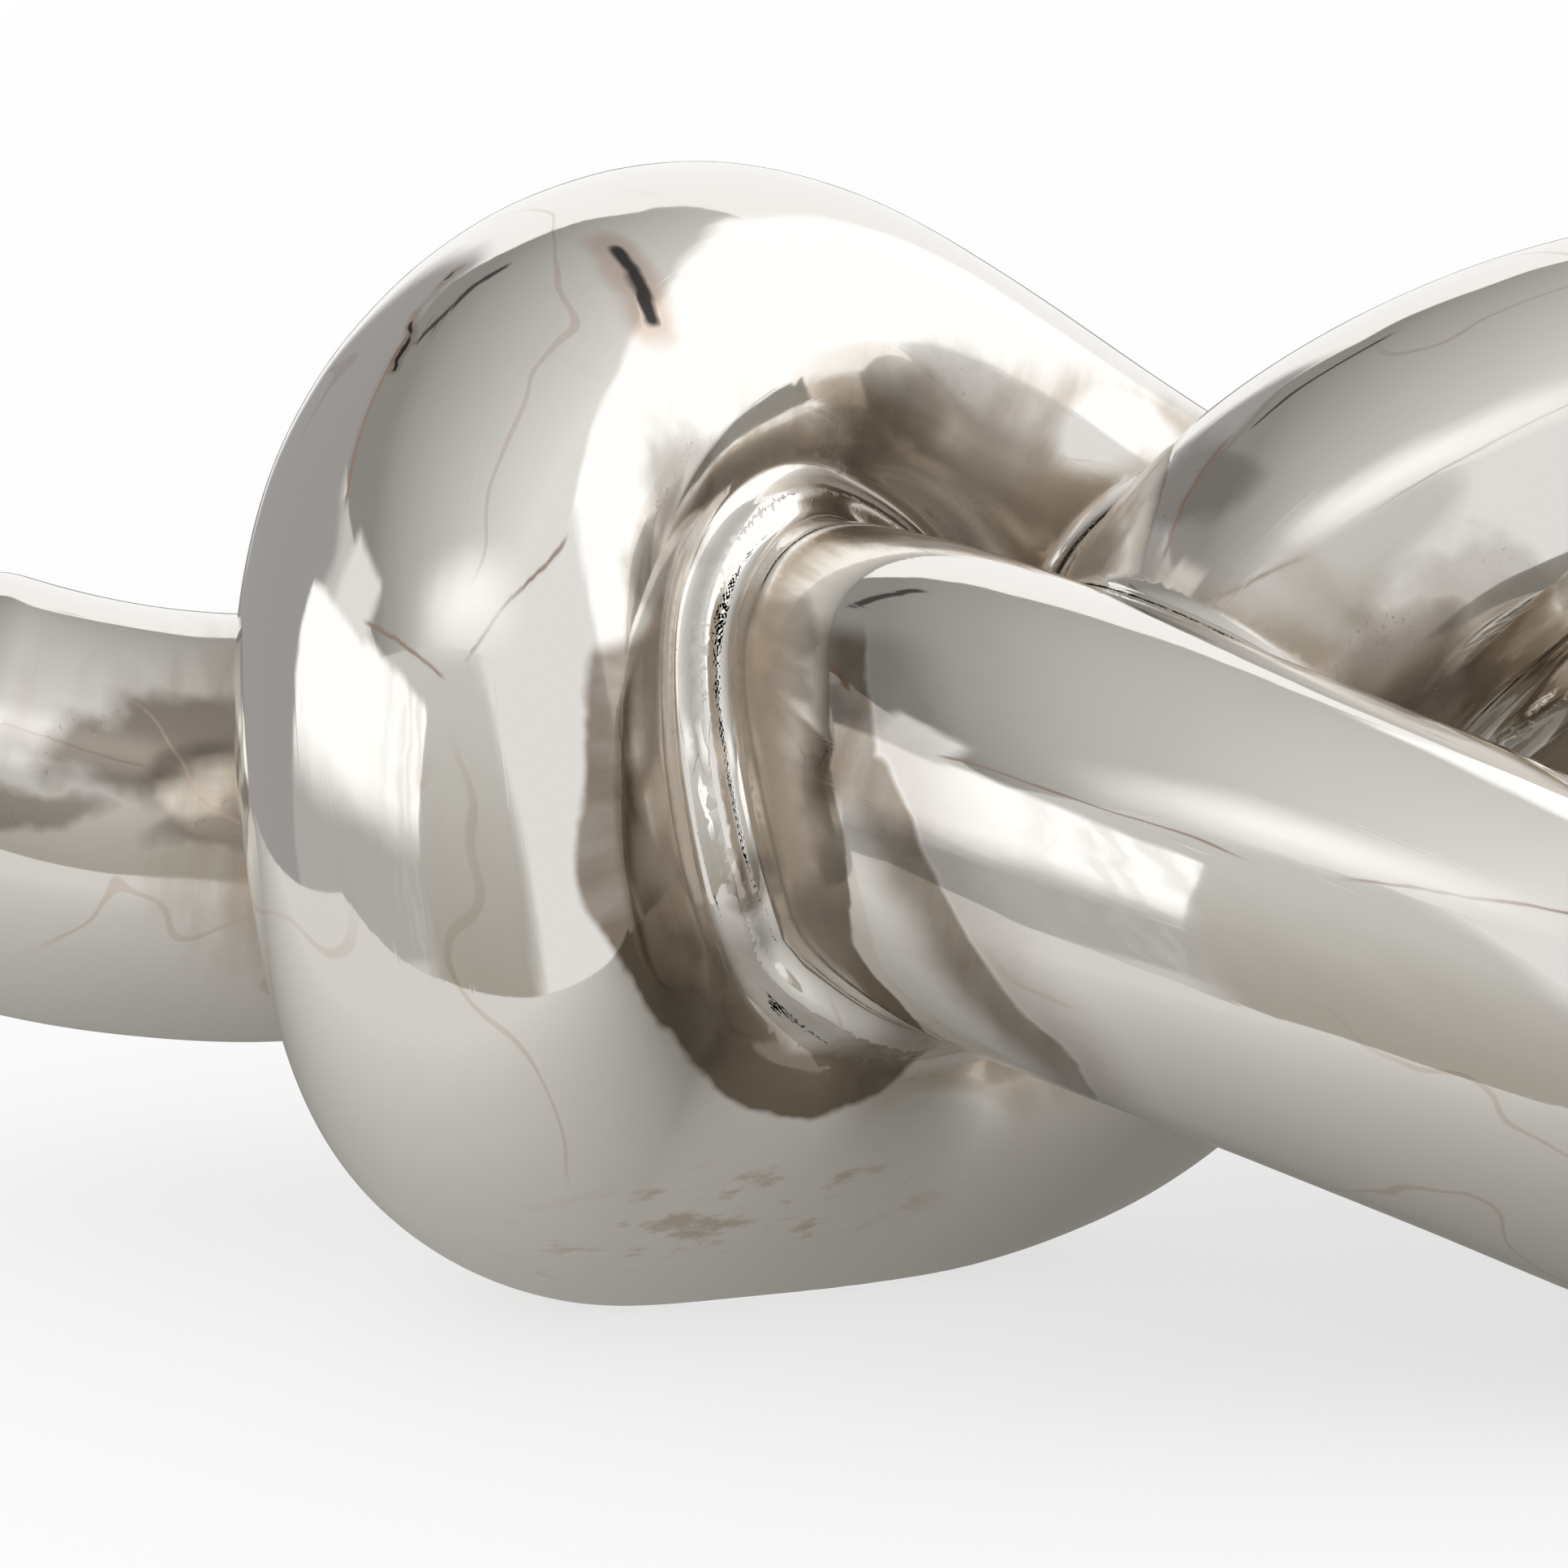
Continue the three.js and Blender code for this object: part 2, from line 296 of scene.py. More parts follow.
def bend_pad(strand, points):
    """Height over the ball of clay inside the tight bend, and the way out of it."""
    place = np.array([PAD_PLACE])
    point, slope, bend = strand.motion(place)
    inward = bend - slope * (bend * slope).sum() / (slope ** 2).sum()
    apart = points - point - inward / np.linalg.norm(inward) * PAD_SHIFT
    distance = np.linalg.norm(apart, axis=1)
    return distance - STRAND_RADIUS - swell_at(place)[0] + PAD_INSET, apart / distance[:, None]


def round_union(depth, way, pad, pad_way):
    """Height over two bodies that run into each other with a fillet, and the way out of them."""
    inside = np.maximum(PAD_FILLET - depth, 0)
    padded = np.maximum(PAD_FILLET - pad, 0)
    reach = np.hypot(inside, padded)
    height = np.maximum(PAD_FILLET, np.minimum(depth, pad)) - reach
    mixed = (inside[:, None] * way + padded[:, None] * pad_way) / np.maximum(reach, TINY)[:, None]
    return height, np.where((padded > 0)[:, None], mixed, way)


def plated_surface(strand, points, places):
    """Height of each point over the plated surface, and the way out of it.

    Also the point's heights over each pass of the strand, and the share of a slip bead in the surface there.
    """
    depths = np.full(places.shape, FAR)
    ways = np.zeros((*places.shape, 3))
    pad, pad_way = bend_pad(strand, points)
    for k in range(STRANDS_NEAR):
        real = ~np.isnan(places[:, k])
        depths[real, k], ways[real, k] = heights_above(strand, points[real], places[real, k])
        bent = np.abs(places[:, k] - PAD_PLACE) < PAD_REACH
        depths[bent, k], ways[bent, k] = round_union(depths[bent, k], ways[bent, k], pad[bent], pad_way[bent])
    for i, j in itertools.combinations(range(STRANDS_NEAR), 2):
        same = np.abs(places[:, i] - places[:, j]) < SAME_BEND
        depths[same, np.where(depths[same, i] > depths[same, j], i, j)] = FAR
    bead, bead_way = slip_bead(depths, ways)
    inside = np.maximum(FILLET - np.column_stack([depths, bead]), 0)
    reach = np.sqrt((inside ** 2).sum(1))
    height = np.maximum(FILLET, np.minimum(depths.min(1), bead)) - reach
    share = inside / np.maximum(reach, TINY)[:, None]
    out = (share[:, :-1, None] * ways).sum(1) + share[:, -1:] * bead_way
    wave, wave_slope = waves(points)
    height -= wave
    out -= wave_slope
    # The feet: what would lie below the table is ground off, with a small round edge.
    under = -points[:, 2]
    body = np.maximum(height + FOOT_EDGE, 0)
    foot = np.maximum(under + FOOT_EDGE, 0)
    corner = np.sqrt(body ** 2 + foot ** 2)
    ground = np.minimum(-FOOT_EDGE, np.maximum(height, under)) + corner
    down = np.array([0.0, 0.0, -1.0])
    rounded = (body[:, None] * out + foot[:, None] * down) / np.maximum(corner, TINY)[:, None]
    out = np.where((corner > 0)[:, None], rounded, out)
    return ground, out, depths, share[:, -1]


def settle_on_surface(strand, points, places, rounds):
    """Moves points onto the plated surface, and the places that go with them along the strand."""
    for _ in range(rounds):
        for k in range(STRANDS_NEAR):
            real = ~np.isnan(places[:, k])
            places[real, k] = strand.settle(points[real], places[real, k])
        height, out = plated_surface(strand, points, places)[:2]
        steep = np.maximum((out ** 2).sum(1), LEAST_STEEP)
        points = points - out * (np.clip(height, -LONGEST_MOVE, LONGEST_MOVE) / steep)[:, None]
    return points


def vertex_array(vertices):
    return np.array([vertex.co for vertex in vertices], float).reshape(-1, 3)


def rough_knot(strand_guides):
    """A closed mesh near the surface: a round tube on the route with balls on its ends, fused on a grid."""
    curve = bpy.data.curves.new("rough_strand", "CURVE")
    curve.dimensions = "3D"
    curve.resolution_u = 24
    curve.bevel_depth = STRAND_RADIUS
    curve.bevel_resolution = 10
    curve.use_fill_caps = True
    spline = curve.splines.new("NURBS")
    spline.points.add(len(strand_guides) - 1)
    for point, guide in zip(spline.points, strand_guides):
        point.co = (*guide, 1)
    spline.order_u = Strand.DEGREE + 1
    spline.use_endpoint_u = True
    tube = bpy.data.objects.new("rough_strand", curve)
    bpy.context.scene.collection.objects.link(tube)
    bpy.context.view_layer.update()
    mesh = bpy.data.meshes.new_from_object(tube.evaluated_get(bpy.context.evaluated_depsgraph_get()))
    bpy.data.objects.remove(tube)
    bm = bmesh.new()
    bm.from_mesh(mesh)
    for end, inner in ((strand_guides[0], strand_guides[1]), (strand_guides[-1], strand_guides[-2])):
        axis = Vector(inner) - Vector(end)
        place = Matrix.Translation(end) @ axis.to_track_quat("Z", "Y").to_matrix().to_4x4()
        flat = Matrix.Diagonal((1, 1, TAIL_DOME / STRAND_RADIUS, 1))
        bmesh.ops.create_uvsphere(bm, u_segments=48, v_segments=24, radius=STRAND_RADIUS, matrix=place @ flat)
    bm.to_mesh(mesh)
    bm.free()
    knot = bpy.data.objects.new("rough_knot", mesh)
    bpy.context.scene.collection.objects.link(knot)
    remesh = knot.modifiers.new("fuse", "REMESH")
    remesh.mode = "VOXEL"
    remesh.voxel_size = VOXEL
    bpy.context.view_layer.update()
    fused = bpy.data.meshes.new_from_object(knot.evaluated_get(bpy.context.evaluated_depsgraph_get()))
    bpy.data.objects.remove(knot)
    return fused


def place_vertices(bm, points):
    for vertex, point in zip(bm.verts, points):
        vertex.co = point


def smooth_on_surface(bm, strand, places, rounds):
    """Evens out the mesh by smoothing it and moving it back onto the surface in turn."""
    axes = {f"use_axis_{axis}": True for axis in "xyz"}
    for _ in range(rounds):
        bmesh.ops.smooth_vert(bm, verts=bm.verts, factor=0.5, **axes)
        place_vertices(bm, settle_on_surface(strand, vertex_array(bm.verts), places, rounds=2))


def smooth_knot(strand, strand_guides):
    """The whole plated surface as one bmesh, evened out on the surface itself and finer along the creases."""
    bm = bmesh.new()
    bm.from_mesh(rough_knot(strand_guides))
    points = vertex_array(bm.verts)
    places = passes_near(strand, points)
    place_vertices(bm, settle_on_surface(strand, points, places, rounds=5))
    smooth_on_surface(bm, strand, places, rounds=2)
    depths = plated_surface(strand, vertex_array(bm.verts), places)[2]
    creased = np.sort(depths, axis=1)[:, 1] < CREASE_ZONE
    bm.verts.index_update()
    edges = [edge for edge in bm.edges if all(creased[vertex.index] for vertex in edge.verts)]
    bmesh.ops.subdivide_edges(bm, edges=edges, cuts=1, use_grid_fill=True)
    smooth_on_surface(bm, strand, passes_near(strand, vertex_array(bm.verts)), rounds=3)
    return bm


def joint_distances(strand):
    """Distances along the strand of the joints between castings."""
    steps = np.cumsum([MIDDLE_LENGTH / 2, LOOP_BEND_LENGTH, LOOP_BEND_LENGTH, CROSSING_LENGTH])
    middle = strand.length / 2
    return np.concatenate([middle - steps[::-1], middle + steps])


def part_castings(bm, strand, joints):
    """Cuts the surface's faces along the joints and creases, and gives each face its casting's number."""
    bmesh.ops.triangulate(bm, faces=bm.faces, quad_method="SHORT_EDGE")
    points = vertex_array(bm.verts)
    places = passes_near(strand, points)
    points = settle_on_surface(strand, points, places, rounds=1)
    depths = plated_surface(strand, points, places)[2]
    along = strand.distance_along(np.nan_to_num(places))
    owners = np.searchsorted(joints, along)
    rows = np.arange(len(points))
    nearest = depths.argmin(1)
    owner = owners[rows, nearest]
    position = along[rows, nearest]
    bm.verts.index_update()
    source = bm.verts.layers.int.new("source")
    for vertex in bm.verts:
        vertex[source] = vertex.index
    border = []
    for edge in list(bm.edges):
        first = edge.verts[0]
        a, b = (vertex[source] for vertex in edge.verts)
        if owner[a] == owner[b]:
            continue
        low, high = sorted((owner[a], owner[b]))
        if high == low + 1 and abs(position[a] - position[b]) < JOINT_STEP:
            share = (joints[low] - position[a]) / (position[b] - position[a])
        else:
            lead = [depths[v][owners[v] == owner[w]].min(initial=FAR) - depths[v].min()
                    for v, w in ((a, b), (b, a))]
            share = lead[0] / max(lead[0] + lead[1], TINY)
        made = bmesh.utils.edge_split(edge, first, float(np.clip(share, LEAST_CUT, 1 - LEAST_CUT)))[1]
        made[source] = -1
        border.append(made)
    bmesh.ops.connect_verts(bm, verts=border)
    number = bm.faces.layers.int.new("casting")
    for face in bm.faces:
        known = [vertex[source] for vertex in face.verts if vertex[source] >= 0]
        face[number] = int(owner[known[0]]) if known else -1
    for face in bm.faces:
        if face[number] < 0:
            face[number] = next(f[number] for e in face.edges for f in e.link_faces if f[number] >= 0)
    bm.verts.layers.int.remove(source)


def crevice_depths(strand, points, out):
    """How much of the room in front of each point is taken up by the strand itself, from 0 to 1."""
    tree = KDTree(len(strand.points))
    for index, point in enumerate(strand.points):
        tree.insert(point, index)
    tree.balance()
    taken = np.zeros(len(points))
    for reach in CREVICE_REACHES:
        free = np.array([tree.find(ahead)[2] for ahead in points + out * reach]) - STRAND_RADIUS
        taken += np.clip(1 - free / reach, 0, 1)
    return taken / len(CREVICE_REACHES)


def note_surface(bm, strand):
    """Settles every vertex and notes there the way out, the place on the strand, the crevice and the bead."""
    points = vertex_array(bm.verts)
    places = passes_near(strand, points)
    points = settle_on_surface(strand, points, places, rounds=2)
    _, out, depths, bead = plated_surface(strand, points, places)
    out /= np.linalg.norm(out, axis=1)[:, None]
    nearest = places[np.arange(len(points)), depths.argmin(1)]
    straight = strand.pulled_straight(points, nearest)
    place_vertices(bm, points)
    outward = bm.verts.layers.float_vector.new("outward")
    on_strand = bm.verts.layers.float_vector.new("on_strand")
    crevice = bm.verts.layers.float.new("crevice")
    on_bead = bm.verts.layers.float.new("bead")
    depth = crevice_depths(strand, points, out) * (1 - BEAD_OPEN * bead)
    for vertex, way, unrolled, closeness, share in zip(bm.verts, out, straight, depth, bead):
        vertex[outward] = way
        vertex[on_strand] = unrolled
        vertex[crevice] = closeness
        vertex[on_bead] = share


def casting_shell(whole, index, strand, joints):
    """One casting as a closed shell: its share of the plated surface, and a wall inside it."""
    bm = whole.copy()
    number = bm.faces.layers.int["casting"]
    others = [face for face in bm.faces if face[number] != index]
    bmesh.ops.delete(bm, geom=others, context="FACES")
    outside = list(bm.faces)
    made = bmesh.ops.extrude_face_region(bm, geom=outside, use_keep_orig=True)["geom"]
    for face in bm.faces:
        face[number] = 0
        face.smooth = True
    for face in outside:
        face[number] = 1
    ends = np.concatenate([[0], joints, [strand.length]])
    own = (strand.lengths >= ends[index]) & (strand.lengths <= ends[index + 1])
    stretch = strand.points[own]
    inner = [item for item in made if isinstance(item, bmesh.types.BMVert)]
    points = vertex_array(inner)
    for vertex, point in zip(inner, points):
        inward = stretch[((stretch - point) ** 2).sum(1).argmin()] - point
        vertex.co = point + inward * min(SHELL / np.linalg.norm(inward), SHELL_DEEPEST)
    bmesh.ops.recalc_face_normals(bm, faces=bm.faces)
    mesh = bpy.data.meshes.new(f"plated_{CASTINGS[index]}")
    bm.to_mesh(mesh)
    bm.free()
    set_plated_normals(mesh)
    return mesh


def set_plated_normals(mesh):
    """Gives the outside the exact normals of the plated surface, so that it runs on over the seams."""
    outward = np.zeros(len(mesh.vertices) * 3, np.float32)
    mesh.attributes["outward"].data.foreach_get("vector", outward)
    outward = outward.reshape(-1, 3)
    outside = np.zeros(len(mesh.polygons), np.int32)
    mesh.attributes["casting"].data.foreach_get("value", outside)
    totals = np.zeros(len(mesh.polygons), np.int32)
    mesh.polygons.foreach_get("loop_total", totals)
    corners = np.zeros(len(mesh.loops), np.int32)
    mesh.loops.foreach_get("vertex_index", corners)
    normals = np.where(np.repeat(outside, totals)[:, None] > 0, outward[corners], 0)
    mesh.normals_split_custom_set(normals.tolist())
    mesh.attributes.remove(mesh.attributes["outward"])
    mesh.attributes.remove(mesh.attributes["casting"])


class Value:
    """A shader socket that takes part in sums, so that shader maths reads as an expression."""

    def __init__(self, paint, socket):
        self.paint = paint
        self.socket = socket

    def sum(self, operation, first, second):
        return self.paint.node("ShaderNodeMath", {"operation": operation}, {0: first, 1: second})

    def __add__(self, other):
        return self.sum("ADD", self, other)

    def __radd__(self, other):
        return self.sum("ADD", other, self)

    def __sub__(self, other):
        return self.sum("SUBTRACT", self, other)

    def __rsub__(self, other):
        return self.sum("SUBTRACT", other, self)

    def __mul__(self, other):
        return self.sum("MULTIPLY", self, other)

    def __rmul__(self, other):
        return self.sum("MULTIPLY", other, self)


class Paint:
    """The node tree of one material or of the world."""

    def __init__(self, owner):
        owner.use_nodes = True
        self.tree = owner.node_tree
        self.tree.nodes.clear()

    def node(self, kind, settings=None, sockets=None, output=0):
        made = self.tree.nodes.new(kind)
        for name, value in (settings or {}).items():
            setattr(made, name, value)
        for name, value in (sockets or {}).items():
            if isinstance(value, Value):
                self.tree.links.new(value.socket, made.inputs[name])
            else:
                made.inputs[name].default_value = value
        if not made.outputs:
            return None
        return Value(self, made.outputs[output])

    def show(self, surface):
        self.node("ShaderNodeOutputMaterial", None, {"Surface": surface})


# Colours of the plating, of what lies on it, and of the shade and reflections painted on it.
SILVER = (0.87, 0.845, 0.805, 1)
# Painted shade: the brownish colour that darkens the plating down in its crevices.
CREVICE_SHADE = (0.49, 0.405, 0.315, 1)
STAIN = (0.6, 0.5, 0.4, 1)
SPECK = (0.3, 0.265, 0.235, 1)
# Painted shade: the darker colour of the deepest hollows and of the painted dark spots.
HOLLOW_SHADE = (0.3, 0.26, 0.22, 1)
CRACK = (0.05, 0.045, 0.045, 1)
BLUSH = (0.62, 0.47, 0.38, 1)
# Painted reflection: the dark brownish colour in which the loop's dark inside shows beside the crease.
REFLECTED_DARK = (0.24, 0.195, 0.15, 1)
RELIEF = 0.22 * MM
# The stain low on the left loop: place and reach in mm.
STAIN_PLACE = (-85, -55, 24)
STAIN_REACH = (50, 50, 14)
# The painted dark reflection, a brownish band on both sides of the left loop's crease: lines along its middle
# in mm, with how much of their depth counts, the band's half width, and the heights between which it ends,
# fills up and leaves the bead.
BAND_LINES = [
    ((-87, -58, 118), (-87, -58, 92), 0.25), ((-87, -58, 92), (-73, -58, 64), 0.25),
    ((-70, -68, 85), (-50, -70, 55), 1),
]
BAND_HALF = 22.5 * MM
BAND_TOP = (124 * MM, 120.28 * MM)
BAND_FULL = (88 * MM, 68 * MM)
BAND_BEAD = (70 * MM, 90 * MM)
# Where it ends, darkens on the loop and on the front strand, and has its rim, in shares of the half width.
BAND_EDGE = (1.04, 0.96)
LOOP_DARKENS = (0.4, 0.7)
FRONT_DARKENS = (0.4, 0.8)
BAND_RIM = (1.6, 1)
# Distances along the strand in metres that lie behind the front strand and before the left loop.
FRONT_TO_LOOP = (0.5, 0.6)
# Where the painted shade in the crevices is lifted again, so that highlights show: place and reach in mm.
SHADE_LIFTS = [
    ((-76, -30, 130), (22, 18, 9)), ((-98, -74, 50), (12, 14, 7)),
    ((-80, -48, 32), (14, 18, 8)), ((-56, -36, 33), (16, 14, 9)),
    ((-20, 42, 133), (17, 15, 11)), ((42, -10, 108), (17, 15, 15)),
]
# Painted shade in hollows, and painted dark reflections on the left tail: place and reach in mm, and how dark
# it is.
SHADE_SPOTS = [
    ((-58, 24, 131), (31, 30, 24), 0.84), ((-94, -33, 139), (15, 18, 14), 0.65),
    ((-102, -48, 131), (10, 12, 10), 0.6), ((22, -23, 108), (14, 13, 14), 0.92),
    ((34, -20, 122), (18, 16, 10), 0.4), ((-12, -6, 137), (13, 13, 10), 0.5),
    ((-186, 9, 88), (24, 16, 11), 0.95), ((-208, -2, 79), (18, 10, 6), 0.7),
    ((-172, 5, 74), (18, 14, 5), 0.75), ((-84, -61, 83), (5, 8, 9), 0.8),
]
# Cracks in the glaze of the left loop's crown: ends in mm, and width.
CRACKS = [
    ((-106, -12, 176), (-101, -23, 166), 2.6), ((-132, -18, 173), (-141, -41, 161), 0.5),
]
# How far the edges of the painted reflection band, the painted shade spots and the cracks wander.
BAND_SHIFT = (7 * MM,) * 3
SHADE_SPOT_SHIFT = (20 * MM,) * 3
CRACK_SHIFT = (9 * MM,) * 3


def between(paint, value, low, high):
    """A mask that rises smoothly from 0 at one value to 1 at another."""
    return paint.node("ShaderNodeMapRange", {"interpolation_type": "SMOOTHSTEP"}, {
        "Value": value, "From Min": low, "From Max": high})


def vector_sum(paint, operation, first, second, output="Vector"):
    return paint.node("ShaderNodeVectorMath", {"operation": operation}, {0: first, 1: second}, output)


def scaled(paint, place, factors):
    return vector_sum(paint, "MULTIPLY", place, factors)


def part(paint, place, axis):
    return paint.node("ShaderNodeSeparateXYZ", None, {0: place}, axis)


def noise(paint, place, scale, detail, roughness=0.5, output=0):
    return paint.node("ShaderNodeTexNoise", None, {
        "Vector": place, "Scale": scale, "Detail": detail, "Roughness": roughness}, output)


def wander(paint, place, scale, detail):
    """A smooth shift that differs from place to place, up to a half each way."""
    return vector_sum(paint, "SUBTRACT", noise(paint, place, scale, detail, output="Color"), (0.5, 0.5, 0.5))


def shifted(paint, place, shift, most):
    return vector_sum(paint, "ADD", place, scaled(paint, shift, most))


def over(paint, mask, below, above):
    return paint.node("ShaderNodeMix", {"data_type": "RGBA"}, {"Factor": mask, 6: below, 7: above}, 2)


def spot(paint, place, centre, reach, edge, core):
    """A mask round a centre: 0 beyond one share of its reach, and 1 within another. Sizes are in mm."""
    apart = vector_sum(paint, "SUBTRACT", place, tuple(side * MM for side in centre))
    apart = scaled(paint, apart, tuple(1 / (side * MM) for side in reach))
    return between(paint, vector_sum(paint, "LENGTH", apart, (0, 0, 0), "Value"), edge, core)


def far_from_line(paint, place, start, end):
    """Distance from a straight line between two points in mm."""
    start, end = Vector(start) * MM, Vector(end) * MM
    along = (end - start).normalized()
    apart = vector_sum(paint, "SUBTRACT", place, tuple(start))
    run = vector_sum(paint, "DOT_PRODUCT", apart, tuple(along), "Value")
    run = paint.node("ShaderNodeClamp", None, {"Value": run, "Min": 0.0, "Max": (end - start).length})
    on_line = paint.node("ShaderNodeVectorMath", {"operation": "SCALE"}, {0: tuple(along), "Scale": run})
    return vector_sum(paint, "DISTANCE", apart, on_line, "Value")


def painted_dark_reflection(paint, place, shift, strand, bead):
    """The painted dark reflection beside the crease, brownish: darker outwards, with a clear edge, and a dim
    rim on the front strand.
    """
    loose = shifted(paint, place, shift, BAND_SHIFT)
    away = FAR
    for start, end, depth in BAND_LINES:
        flat = Vector((1, depth, 1))
        flattened = scaled(paint, loose, tuple(flat))
        line = far_from_line(paint, flattened, Vector(start) * flat, Vector(end) * flat)
        away = line.sum("MINIMUM", away, line)
    share = away * (1 / BAND_HALF)
    up = part(paint, place, "Z")
    on_loop = between(paint, part(paint, strand, "Z"), *FRONT_TO_LOOP)
    on_front = 1 - on_loop
    inside = between(paint, share, *BAND_EDGE)
    low = between(paint, up, *BAND_FULL)
    loop_side = on_loop * (0.15 + 0.5 * low + 0.8 * between(paint, share, *LOOP_DARKENS))
    front_side = on_front * (0.05 + 0.9 * between(paint, share, *FRONT_DARKENS))
    dark = inside * (loop_side + front_side)
    rim = 0.4 * on_front * (1 - inside) * between(paint, share, *BAND_RIM)
    bright = bead * (0.3 + 0.7 * between(paint, up, *BAND_BEAD))
    return dark.sum("MAXIMUM", dark, rim) * between(paint, up, *BAND_TOP) * (1 - bright)


def cracks(paint, place, shift, strand):
    """Masks of the cracks, and of the blush round them and along fine veins."""
    bands = paint.node("ShaderNodeTexWave", None, {
        "Vector": strand, "Scale": 5.0, "Distortion": 2.4, "Detail": 1.5, "Detail Scale": 6.0}, "Fac")
    veins = between(paint, bands, 0.9995, 0.9999) * between(paint, noise(paint, place, 15, 1), 0.5, 0.57)
    bent = shifted(paint, place, shift, CRACK_SHIFT)
    crack = 0
    blush = veins * 0.4
    for start, end, width in CRACKS:
        away = far_from_line(paint, bent, start, end)
        crack = crack + between(paint, away, width * MM, 0.4 * width * MM)
        blush = blush + 0.7 * between(paint, away, 3 * width * MM, width * MM)
    return crack, blush


def silver_plate():
    """Silver plating: a mirror with brush streaks and hairlines, duller down in the crevices, where painted
    shade browns and darkens it.
    """
    material = bpy.data.materials.new("silver_plate")
    paint = Paint(material)
    place = paint.node("ShaderNodeTexCoord", None, None, "Object")
    strand = paint.node("ShaderNodeAttribute", {"attribute_name": "on_strand"}, None, "Vector")
    crevice = paint.node("ShaderNodeAttribute", {"attribute_name": "crevice"}, None, "Fac")
    bead = paint.node("ShaderNodeAttribute", {"attribute_name": "bead"}, None, "Fac")
    shift = wander(paint, place, 60, 3)
    clouds = noise(paint, place, 38, 4)
    smears = noise(paint, scaled(paint, strand, (0.25, 0.25, 1)), 170, 4)

    # Painted shade in the crevices: the closer the strand closes in round a point, the browner and darker,
    # lifted again at a few spots.
    shade_lifted = 0
    for centre, reach in SHADE_LIFTS:
        shade_lifted = shade_lifted + spot(paint, place, centre, reach, 1.1, 0.5)
    hidden = crevice - 0.6 * shade_lifted
    crevice_shade = between(paint, hidden + 0.35 * (clouds - 0.5) + 0.45 * (smears - 0.5), 0.12, 0.62)
    # Painted dark reflection beside the left loop's crease.
    reflected_dark = painted_dark_reflection(paint, place, shift, strand, bead) * (0.55 + 0.7 * smears)
    # Painted shade, darkest in the deepest hollows and at the painted dark spots.
    hollow_shade = between(paint, hidden + 0.2 * (clouds - 0.5), 0.7, 1.0) * 0.35
    loose = shifted(paint, place, shift, SHADE_SPOT_SHIFT)
    for centre, reach, most in SHADE_SPOTS:
        shade_spot = spot(paint, loose, centre, reach, 1.0, 0.5) * most
        hollow_shade = hollow_shade.sum("MAXIMUM", hollow_shade, shade_spot)

    blotches = noise(paint, scaled(paint, place, (1, 1, 2.5)), 90, 6, 0.65)
    stain = spot(paint, place, STAIN_PLACE, STAIN_REACH, 1.0, 0.45) * between(paint, blotches, 0.5, 0.66)
    grains = noise(paint, place, 1100, 3, 0.6)
    speckled = between(paint, noise(paint, place, 60, 4), 0.47, 0.62) * between(paint, hollow_shade, 0.1, 0.5)
    speck = between(paint, grains, 0.6, 0.66) * speckled
    crack, blush = cracks(paint, place, shift, strand)

    colour = over(paint, crevice_shade * 0.85, SILVER, CREVICE_SHADE)
    colour = over(paint, reflected_dark, colour, REFLECTED_DARK)
    colour = over(paint, hollow_shade, colour, HOLLOW_SHADE)
    colour = over(paint, stain * 0.8, colour, STAIN)
    colour = over(paint, blush, colour, BLUSH)
    colour = over(paint, speck * 0.75, colour, SPECK)
    colour = over(paint, crack, colour, CRACK)

    hairlines = noise(paint, scaled(paint, strand, (1, 1, 0.035)), 900, 2)
    hairline = between(paint, hairlines, 0.66, 0.72)
    rough = 0.03 + 0.03 * clouds + 0.1 * crevice_shade + 0.12 * stain + 0.2 * speck + 0.04 * hairline + 0.2 * crack
    streaks = noise(paint, scaled(paint, strand, (1, 1, 0.16)), 120, 3)
    ripple = noise(paint, place, 22, 2)
    height = 0.3 * streaks + 1.7 * ripple + 0.02 * hairline - 0.3 * crack
    normal = paint.node("ShaderNodeBump", None, {"Strength": 1.0, "Distance": RELIEF, "Height": height})
    paint.show(paint.node("ShaderNodeBsdfPrincipled", None, {
        "Base Color": colour,
        "Metallic": 1 - 0.3 * crevice_shade - 0.25 * speck,
        "Roughness": rough,
        "Normal": normal,
    }))
    return material


def make_castings():
    guides = (np.array(ROUTE_MM, float) + np.array(ROUTE_MIDDLE_MM)) * MM
    strand = Strand(guides)
    joints = joint_distances(strand)
    whole = smooth_knot(strand, guides)
    part_castings(whole, strand, joints)
    note_surface(whole, strand)
    plate = silver_plate()
    nodes = sorted(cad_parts)
    for index, name in enumerate(CASTINGS):
        mesh = casting_shell(whole, index, strand, joints)
        mesh.materials.append(plate)
        piece = bpy.data.objects.new(f"plated_{name}", mesh)
        bpy.context.scene.collection.objects.link(piece)
        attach(piece, "root")
        bonds = [n for n in nodes if n.startswith(f"bond_{name}_to_")]
        seams = [n for n in nodes if n.startswith(f"seam_{name}_to_")]
        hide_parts(name, *seams, *bonds)
    whole.free()


